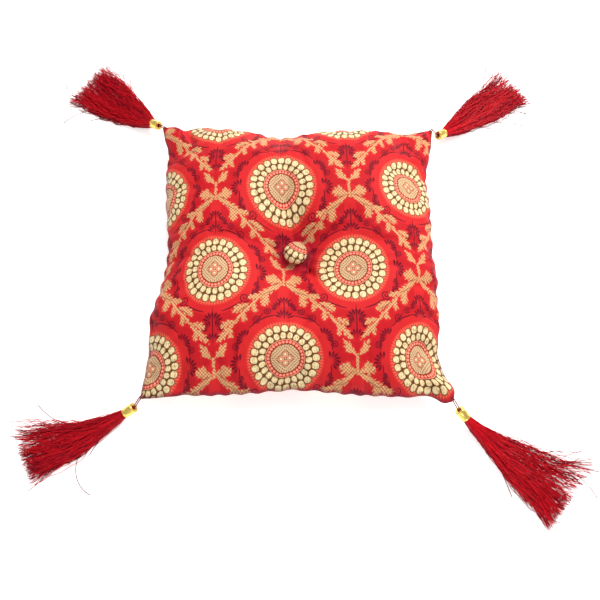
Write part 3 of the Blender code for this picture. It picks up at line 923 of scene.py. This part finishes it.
def make_button():
    """A quarter ellipse from the dome's middle to its rim, then in under it to the foot, turned about Z."""
    seat = upper_panel(np.array([PIT_X / HALF_SIDE]), np.array([PIT_Y / HALF_SIDE]))[0]
    turn = np.linspace(0, math.pi / 2, BUTTON_RINGS)
    tuck_radius, tuck_height = np.array(BUTTON_TUCK).T
    radius = np.concatenate([BUTTON_RADIUS * np.sin(turn), tuck_radius])
    dome = BUTTON_RIM_HEIGHT + (BUTTON_HEIGHT - BUTTON_RIM_HEIGHT) * np.cos(turn)
    height = np.concatenate([dome, tuck_height])
    steps = np.hypot(np.diff(radius), np.diff(height))
    pulled = np.concatenate([[0.0], np.cumsum(steps)])
    around = np.arange(BUTTON_SIDES) / BUTTON_SIDES * 2 * math.pi
    pleat = np.clip((radius / BUTTON_RADIUS - BUTTON_PLEAT_START) / (1 - BUTTON_PLEAT_START), 0, 1)[:, None]
    pleat = 1 - pleat * BUTTON_PLEAT_DEPTH / BUTTON_RADIUS * (1 + np.cos(BUTTON_PLEATS * around))[None] / 2
    wide = radius[:, None] * pleat
    x = wide * np.cos(around) + seat[0]
    y = wide * np.sin(around) + seat[1]
    z = np.repeat(height[:, None], BUTTON_SIDES, axis=1) + seat[2] + BUTTON_SEAT_GAP
    points = np.stack([x, y, z], axis=-1)
    body = points[1:-1].reshape(-1, 3)
    top = [seat[0], seat[1], seat[2] + BUTTON_SEAT_GAP + BUTTON_HEIGHT]
    bottom = [seat[0], seat[1], seat[2] + BUTTON_SEAT_GAP]
    quads, caps = tube_faces(len(radius) - 2, BUTTON_SIDES)
    faces = quads.tolist() + caps.tolist()
    button = new_piece("covered_button", np.vstack([body, top, bottom]), faces, BROCADE_CLOTH)
    away = around + math.radians(BUTTON_CLOTH_TURN)
    flat = np.stack([pulled[:, None] * np.cos(away), pulled[:, None] * np.sin(away)], axis=-1)[1:-1]
    flat = np.vstack([flat.reshape(-1, 2), np.zeros((2, 2))]) + (BUTTON_CLOTH_X, BUTTON_CLOTH_Y)
    add_cloth_map(button, flat[np.concatenate([quads.ravel(), caps.ravel()])])
    # The button's cloth gets no painted shade.
    add_attribute(button, "seam", np.zeros(len(flat)))
    return button


button = make_button()
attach(button, "root")
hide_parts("button")


# Tassels: each has a yarn skirt hanging from a head held in a brass ferrule. The yarn leaves the
# ferrule as a round bundle, drops to the surface and fans out there in a loose, level brush.
FERRULE_HEIGHT = 8.5
YARN_RADIUS = 2.1
LANDING = 30.0
SKIRT_THICKNESS = 3.4
STRAY_FROM = 0.45
RIPPLE = 1.0
RIPPLE_LENGTH = 38.0
RIPPLE_LAG = 2.2
TASSELS = (
    # name, corner x, corner y, ferrule x, ferrule y, heading, length, left, right, then
    # stray side, stray, bend, flare
    ("back_left", -1, 1, -94.6, 93.2, 144.4, 65, 15, 16, 0, 0, 0, 0.60),
    ("back_right", 1, 1, 95.6, 88.2, 36.6, 73, 13, 10.5, 0, 0, 0, 0.55),
    ("front_right", 1, -1, 94.8, -96.2, -43.3, 76, 15, 10.6, 1, 17, 0, 1.05),
    ("front_left", -1, -1, -95, -94.8, -152.3, 66, 12, 9, -1, 7, -5, 0.90),
)
STRANDS = 560
LOCKS = 26
STRAND_STATIONS = 32
STRAND_SIDES = 3
STRAND_RADIUS = 0.21
STRAND_CRIMP = 0.58
HAIRS = 14
HAIR_RADIUS = 0.24
YARN_START = -0.9
YARN_LOFT = 1.6
FAN_SHARPNESS = 9
STRAND_SHORTENING = 0.26
STRAND_TIP = 0.4
LOCK_SPREAD = 0.10
WANDER_ACROSS = 0.17
WANDER_UP = 0.5
WEAVE = 0.07
CRIMP_RATES = (10, 34)
HAIR_ROOTS = (0.25, 0.80)
HAIR_RUNS = (14, 30)
HAIR_CURL = 0.035
HAIR_TURNS = (0.1, 0.7)
HAIR_DROP = 9.0
HAIR_HOVER = 0.4
HAIR_ARCH = 1.2
TONE_MIDDLE = 0.58
# Painted shade: how much darker the strands lower in the bundle are made.
PAINTED_SHADE_BY_HEIGHT = 0.34
TONE_SPREAD = 0.36
YARN_CRIMSON = (0.56, 0.005, 0.013)
YARN_DARK = (0.17, 0.002, 0.013)
SLUB_SCALE = 650.0
SLUB_HEIGHT = 0.12


def landing_height(x):
    """Height of the middle of the yarn: a parabola from the ferrule down to the surface."""
    lying = SKIRT_THICKNESS / 2
    return lying + (FERRULE_HEIGHT - lying) * np.maximum(1 - x / LANDING, 0) ** 2


def landing_slope(x):
    return -2 * (FERRULE_HEIGHT - SKIRT_THICKNESS / 2) / LANDING * np.maximum(1 - x / LANDING, 0)


def yarn_flow(a, b, x, tassel):
    """Where a point of the straight yarn lies: a across and b up from -1 to 1, x along from the ferrule.

    At the ferrule a and b fill a disc, and further on they fan out into a thin level layer.
    """
    foot_x, foot_y, heading, length, left, right, side, stray, bend, flare = tassel[3:]
    t = np.clip(x / length, 0, 1)
    fanned = 1 - (1 - t) ** FAN_SHARPNESS
    spread = np.where(a > 0, left, right) * a
    loose = side * stray * np.maximum(a * side - STRAY_FROM, 0) / (1 - STRAY_FROM)
    ripple = RIPPLE * np.sin(2 * math.pi * x / RIPPLE_LENGTH + RIPPLE_LAG * a) * t
    round_across = YARN_RADIUS * a * np.sqrt(1 - b ** 2 / 2)
    round_up = YARN_RADIUS * b * np.sqrt(1 - a ** 2 / 2)
    flat_across = YARN_RADIUS * a + spread * t ** flare + loose * t ** 2 + bend * t ** 3 + ripple
    across = (1 - fanned) * round_across + fanned * flat_across
    up = (1 - fanned) * round_up + fanned * SKIRT_THICKNESS / 2 * b * np.where(b > 0, YARN_LOFT, 1)
    tilt = np.arctan(landing_slope(x))
    forward = x - up * np.sin(tilt)
    turn = math.radians(heading)
    world_x = foot_x + forward * math.cos(turn) - across * math.sin(turn)
    world_y = foot_y + forward * math.sin(turn) + across * math.cos(turn)
    return np.stack([world_x, world_y, landing_height(x) + up * np.cos(tilt)], axis=-1)


def sweep(lines, radii, sides):
    """Tubes along many lines at once: a ring of points at every station, and a point to close each end."""
    ahead = np.gradient(lines, axis=1)
    ahead /= np.linalg.norm(ahead, axis=-1, keepdims=True)
    beside = np.cross(ahead, [0.0, 0.0, 1.0])
    beside /= np.maximum(np.linalg.norm(beside, axis=-1, keepdims=True), 1e-6)
    above = np.cross(beside, ahead)
    turn = np.arange(sides) / sides * 2 * math.pi
    ring = beside[:, :, None] * np.cos(turn)[:, None] + above[:, :, None] * np.sin(turn)[:, None]
    rings = lines[:, :, None] + ring * radii[:, :, None, None]
    count, stations = lines.shape[:2]
    tube = np.concatenate([rings.reshape(count, -1, 3), lines[:, :1], lines[:, -1:]], axis=1)
    quads, caps = tube_faces(stations, sides)
    offsets = (np.arange(count) * tube.shape[1])[:, None, None]
    quads = (quads[None] + offsets).reshape(-1, 4)
    caps = (caps[None] + offsets).reshape(-1, 3)
    return tube.reshape(-1, 3), quads.tolist() + caps.tolist(), tube.shape[1]


def yarn_look():
    """Silky dyed yarn: each thread has its own depth of colour, and painted shade makes the threads lower
    down inside the bundle darker.
    """
    look, tree, shader = new_look("silk_yarn", 0.34)
    slubs = noise(tree, SLUB_SCALE)
    # The "shade" attribute holds each strand's own random depth of colour plus the painted shade low in the
    # bundle.
    colour = paint(YARN_DARK, marked(tree, "shade") * (slubs.cover(0.45) * 0.7 + 0.3), YARN_CRIMSON)
    tree.links.new(colour, shader.inputs["Base Color"])
    shader.inputs["Specular IOR Level"].default_value = 0.12
    add_bump(tree, shader, slubs, SLUB_HEIGHT)
    return look


SILK_YARN = yarn_look()


def crimp(t, rate, phase):
    """A crinkle of three waves that do not keep step, one for each axis, from nothing at the root."""
    waves = [np.sin(rate * t + phase[k]) + 0.6 * np.sin(rate * 2.3 * t + phase[k - 1]) for k in range(3)]
    return np.stack(waves, axis=-1) * (STRAND_CRIMP * np.clip(t * 2.0, 0, 1))[None, :, None]


def make_yarn(tassel, draws):
    """Some hundreds of fine threads, each on its own place in the flow with its own crimp and length."""
    length = tassel[6]
    lock = draws.uniform(-1, 1, LOCKS)[draws.integers(0, LOCKS, STRANDS)]
    a = np.clip(lock + draws.normal(0, LOCK_SPREAD, STRANDS), -1, 1)
    b = draws.uniform(-1, 1, STRANDS)
    own_length = length * (1 - STRAND_SHORTENING * draws.random(STRANDS) ** 1.5)
    t = np.linspace(0, 1, STRAND_STATIONS)
    x = YARN_START + (own_length[:, None] - YARN_START) * t
    wander = t ** 1.2
    a_path = a[:, None] * 0.94 + draws.normal(0, WANDER_ACROSS, STRANDS)[:, None] * wander
    a_path = a_path + WEAVE * np.sin(t * 8.0 + draws.uniform(0, 6.3, STRANDS)[:, None]) * wander
    b_path = np.clip(b[:, None] + draws.normal(0, WANDER_UP, STRANDS)[:, None] * wander, -1, 1) * 0.94
    lines = yarn_flow(np.clip(a_path, -1.3, 1.3), b_path, x, tassel)
    rate = draws.uniform(*CRIMP_RATES, (STRANDS, 1))
    lines = lines + crimp(t, rate, draws.uniform(0, 6.3, (3, STRANDS, 1))) * (1.0, 1.0, 0.55)
    radii = np.full(lines.shape[:2], STRAND_RADIUS)
    radii[:, -1] = STRAND_RADIUS * STRAND_TIP

    # Loose hairs leave the skirt part of the way along and wind off on arcs over the surface.
    side = np.sign(draws.uniform(-1, 1, HAIRS))
    from_root = length * draws.uniform(*HAIR_ROOTS, HAIRS)
    start = yarn_flow(side * 0.8, np.full(HAIRS, 0.5), from_root, tassel)
    run = draws.uniform(*HAIR_RUNS, HAIRS)[:, None] * np.linspace(0, 1, STRAND_STATIONS)
    curl = draws.normal(0, HAIR_CURL, HAIRS)[:, None] * run
    turned = math.radians(tassel[5]) + (side * draws.uniform(*HAIR_TURNS, HAIRS))[:, None] + curl
    step = np.diff(run, axis=1, prepend=0.0)
    hairs = np.cumsum(step[..., None] * np.stack([np.cos(turned), np.sin(turned)], axis=-1), axis=1)
    arch = HAIR_ARCH * draws.random((HAIRS, 1)) * np.sin(run / HAIR_DROP) ** 2
    height = start[:, 2:] * np.exp(-run / HAIR_DROP) + HAIR_HOVER + arch
    hairs = np.concatenate([hairs + start[:, None, :2], height[..., None]], axis=-1)
    lines = np.concatenate([lines, hairs])
    radii = np.concatenate([radii, np.full(hairs.shape[:2], HAIR_RADIUS)])
    lines[..., 2] = np.maximum(lines[..., 2], radii * 1.1)
    points, faces, each = sweep(lines, radii, STRAND_SIDES)
    yarn = new_piece("yarn_skirt_" + tassel[0], points, faces, SILK_YARN)
    # Each strand's own random depth of colour, plus painted shade that darkens the strands lower in the
    # bundle; the hairs are dark.
    tone_and_painted_shade = np.clip(TONE_MIDDLE + PAINTED_SHADE_BY_HEIGHT * b + draws.normal(0, TONE_SPREAD, STRANDS), 0, 1)
    tone_and_painted_shade = np.concatenate([tone_and_painted_shade, np.zeros(HAIRS)])
    add_attribute(yarn, "shade", np.repeat(tone_and_painted_shade, each))
    return yarn


yarn_draws = np.random.default_rng(21)
for tassel in TASSELS:
    yarn = make_yarn(tassel, yarn_draws)
    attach(yarn, "root")
    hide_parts("yarn_" + tassel[0])


# Ferrules: short barrels turned from brass tube and polished, with a rolled rim at each end.
FERRULE_HALF_LENGTH = 3.5
FERRULE_OUTLINE = (
    # along, radius
    (3.15, 2.42), (3.45, 2.50), (3.50, 2.65), (3.45, 2.82), (3.20, 2.93),
    (2.90, 2.90), (2.60, 2.76), (2.30, 2.78), (1.20, 2.93), (0.00, 2.98),
    (-1.20, 2.93), (-2.30, 2.78), (-2.60, 2.76), (-2.90, 2.90), (-3.20, 2.93),
    (-3.45, 2.80), (-3.52, 2.55), (-3.56, 2.20), (-3.54, 1.80), (-3.42, 1.48),
    (-3.20, 1.32), (-2.95, 1.40), (-2.75, 1.80), (-2.60, 2.42), (0.00, 2.42),
)
FERRULE_SIDES = 48
BRASS = (0.98, 0.76, 0.22)
BRASS_WORN = (0.72, 0.46, 0.10)
WEAR_SCALE = 420.0
WEAR_HEIGHT = 0.05


def brass_look():
    """Polished brass: a little darker, rougher and uneven in soft patches."""
    look, tree, shader = new_look("polished_brass", 0.22, 1.0)
    patches = noise(tree, WEAR_SCALE)
    worn = patches.cover(0.6)
    colour = paint(BRASS, worn * 0.5, BRASS_WORN)
    tree.links.new(colour, shader.inputs["Base Color"])
    rough = worn * 0.12 + 0.16
    tree.links.new(rough.socket, shader.inputs["Roughness"])
    add_bump(tree, shader, patches, WEAR_HEIGHT)
    return look


POLISHED_BRASS = brass_look()


def tassel_axes(tassel):
    """The ferrule's middle, its axis away from the cushion, and the level direction across it."""
    turn = math.radians(tassel[5])
    slope = math.atan(landing_slope(0.0))
    level = math.cos(slope)
    outwards = np.array([math.cos(turn) * level, math.sin(turn) * level, math.sin(slope)])
    sideways = np.array([-math.sin(turn), math.cos(turn), 0.0])
    return np.array([tassel[3], tassel[4], FERRULE_HEIGHT]), outwards, sideways


def make_ferrule(tassel):
    """The closed outline, turned about the ferrule's tilted axis."""
    middle, outwards, sideways = tassel_axes(tassel)
    upwards = np.cross(outwards, sideways)
    along, radius = np.array(FERRULE_OUTLINE).T
    around = np.arange(FERRULE_SIDES) / FERRULE_SIDES * 2 * math.pi
    ring = sideways * np.cos(around)[:, None] + upwards * np.sin(around)[:, None]
    points = middle + outwards * along[:, None, None] + ring[None] * radius[:, None, None]
    closed = np.concatenate([points, points[:1]])
    faces = grid_faces(len(closed), FERRULE_SIDES, wrap=True)[:, ::-1] % (len(points) * FERRULE_SIDES)
    return new_piece("brass_ferrule_" + tassel[0], points.reshape(-1, 3), faces, POLISHED_BRASS)


for tassel in TASSELS:
    ferrule = make_ferrule(tassel)
    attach(ferrule, "root")
    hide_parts("ferrule_" + tassel[0])


# Thread loops: doubled red sewing thread, stitched over the corner of the cushion and passed
# through the ferrule round the yarn head, so that each tassel hangs from its corner.
THREAD_RADIUS = 0.33
LOOP_HALF_WIDTH = 0.6
LOOP_ON_EAR = (0.024, 0.012, 0.0)
LOOP_BEND = (60, 30, 0, -30, -60)
LOOP_CLEARANCE = 0.3
YARN_TOP = -1.0
THREAD_SIDES = 10
THREAD_RED = (0.30, 0.008, 0.014)
# Painted shade for the grooves between the plies.
THREAD_PAINTED_SHADE = (0.12, 0.004, 0.008)
PLY_HEIGHT = 0.12
PLY_TURNS = 0.5
PLIES = 2
LOOP_STATIONS = 90


def thread_look():
    """Twisted thread: plies that wind along it, raised by the bump, with painted shade in the grooves
    between them.
    """
    look, tree, shader = new_look("sewing_thread", 0.55)
    ply = (marked(tree, "twist") * (2 * math.pi)).sin() * 0.5 + 0.5
    # Painted shade: darker where the ply's height is low, in the grooves.
    tree.links.new(paint(THREAD_PAINTED_SHADE, ply, THREAD_RED), shader.inputs["Base Color"])
    add_bump(tree, shader, ply, PLY_HEIGHT)
    return look


SEWING_THREAD = thread_look()


def over_corner(corner_x, corner_y, inset):
    """A place where the thread lies on the corner's ear, that share of the half side in from its tip."""
    share = 1 - inset
    place_on = upper_panel(np.array([corner_x * share]), np.array([corner_y * share]))[0]
    return place_on + np.array([0, 0, THREAD_RADIUS + LOOP_CLEARANCE])


def smooth_line(route, count):
    """Even points on a curve through the route, by four-point interpolation between each pair."""
    ends = np.vstack([2 * route[0] - route[1], route, 2 * route[-1] - route[-2]])
    u = np.linspace(0, len(route) - 1, count)
    k = np.minimum(u.astype(int), len(route) - 2)
    f = (u - k)[:, None]
    before, first, second, after = ends[k], ends[k + 1], ends[k + 2], ends[k + 3]
    bow = 2 * first + (second - before) * f + (2 * before - 5 * first + 4 * second - after) * f ** 2
    return (bow + (3 * first - before - 3 * second + after) * f ** 3) / 2


def make_loop(tassel):
    """A thread stitched over the corner's ear, through the ferrule's mouth, to the yarn and back."""
    middle, outwards, sideways = tassel_axes(tassel)
    mouth = middle - outwards * FERRULE_HALF_LENGTH
    bight = middle + outwards * (YARN_TOP - LOOP_CLEARANCE - THREAD_RADIUS)
    ear = [over_corner(tassel[1], tassel[2], inset) for inset in LOOP_ON_EAR]
    spine = ear + [(ear[-1] + mouth) / 2, mouth, bight - outwards * LOOP_HALF_WIDTH]
    left = [spot + sideways * LOOP_HALF_WIDTH for spot in spine]
    right = [spot - sideways * LOOP_HALF_WIDTH for spot in spine]
    bend = []
    for degrees in LOOP_BEND:
        around = math.radians(degrees)
        spot = bight + outwards * LOOP_HALF_WIDTH * (math.cos(around) - 1)
        bend.append(spot + sideways * LOOP_HALF_WIDTH * math.sin(around))
    line = smooth_line(np.array(left + bend + right[::-1]), LOOP_STATIONS)
    radii = np.full((1, len(line)), THREAD_RADIUS)
    points, faces, each = sweep(line[None], radii, THREAD_SIDES)
    loop = new_piece("thread_loop_" + tassel[0], points, faces, SEWING_THREAD)
    run = np.arange(len(line))[:, None] * PLY_TURNS + np.arange(THREAD_SIDES)[None] / THREAD_SIDES * PLIES
    add_attribute(loop, "twist", np.concatenate([run.ravel(), [0.0, 0.0]]))
    return loop


for tassel in TASSELS:
    loop = make_loop(tassel)
    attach(loop, "root")
    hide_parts("loop_" + tassel[0])


# Setting: a pale floor lit almost to white under a white backdrop, a large soft light from the
# back right, and a dim one in front.
FLOOR_SIZE = 40.0
FLOOR_COLOUR = (0.93, 0.93, 0.93)
WORLD_COLOUR = (1.0, 1.0, 1.0)
WORLD_STRENGTH = 0.58
FLOOR_GLOW = 0.47
LIGHTS = (
    # name, place in metres, size in metres, watts, colour
    ("key_light", (0.46, 0.72, 1.05), 0.8, 25.0, (1.0, 0.97, 0.94)),
    ("front_light", (0.0, -1.2, 1.0), 0.9, 6.5, (1.0, 0.98, 0.96)),
)


def make_setting():
    """The floor, the world's even light, with white where the camera sees past the floor, and the lights."""
    look, tree, shader = new_look("pale_floor", 0.9)
    shader.inputs["Base Color"].default_value = (*FLOOR_COLOUR, 1.0)
    shader.inputs["Emission Color"].default_value = (*FLOOR_COLOUR, 1.0)
    shader.inputs["Emission Strength"].default_value = FLOOR_GLOW
    half = FLOOR_SIZE / 2 / MM
    corners = [(-half, -half, -0.05), (half, -half, -0.05), (half, half, -0.05), (-half, half, -0.05)]
    floor = new_piece("floor", corners, [(0, 1, 2, 3)], look)
    world = bpy.data.worlds.new("daylight")
    bpy.context.scene.world = world
    world.use_nodes = True
    tree = world.node_tree
    sky = tree.nodes["Background"]
    sky.inputs["Color"].default_value = (*WORLD_COLOUR, 1.0)
    sky.inputs["Strength"].default_value = WORLD_STRENGTH
    seen = tree.nodes.new("ShaderNodeLightPath")
    backdrop = tree.nodes.new("ShaderNodeBackground")
    backdrop.inputs["Color"].default_value = (*WORLD_COLOUR, 1.0)
    chosen = tree.nodes.new("ShaderNodeMixShader")
    tree.links.new(seen.outputs["Is Camera Ray"], chosen.inputs[0])
    tree.links.new(sky.outputs[0], chosen.inputs[1])
    tree.links.new(backdrop.outputs[0], chosen.inputs[2])
    tree.links.new(chosen.outputs[0], tree.nodes["World Output"].inputs["Surface"])
    for name, spot, size, watts, colour in LIGHTS:
        data = bpy.data.lights.new(name, "AREA")
        data.size = size
        data.energy = watts
        data.color = colour
        light = bpy.data.objects.new(name, data)
        bpy.context.scene.collection.objects.link(light)
        light.location = spot
        light.rotation_euler = (-Vector(spot)).to_track_quat("-Z", "Y").to_euler()


make_setting()
bpy.context.scene.view_settings.view_transform = "Standard"
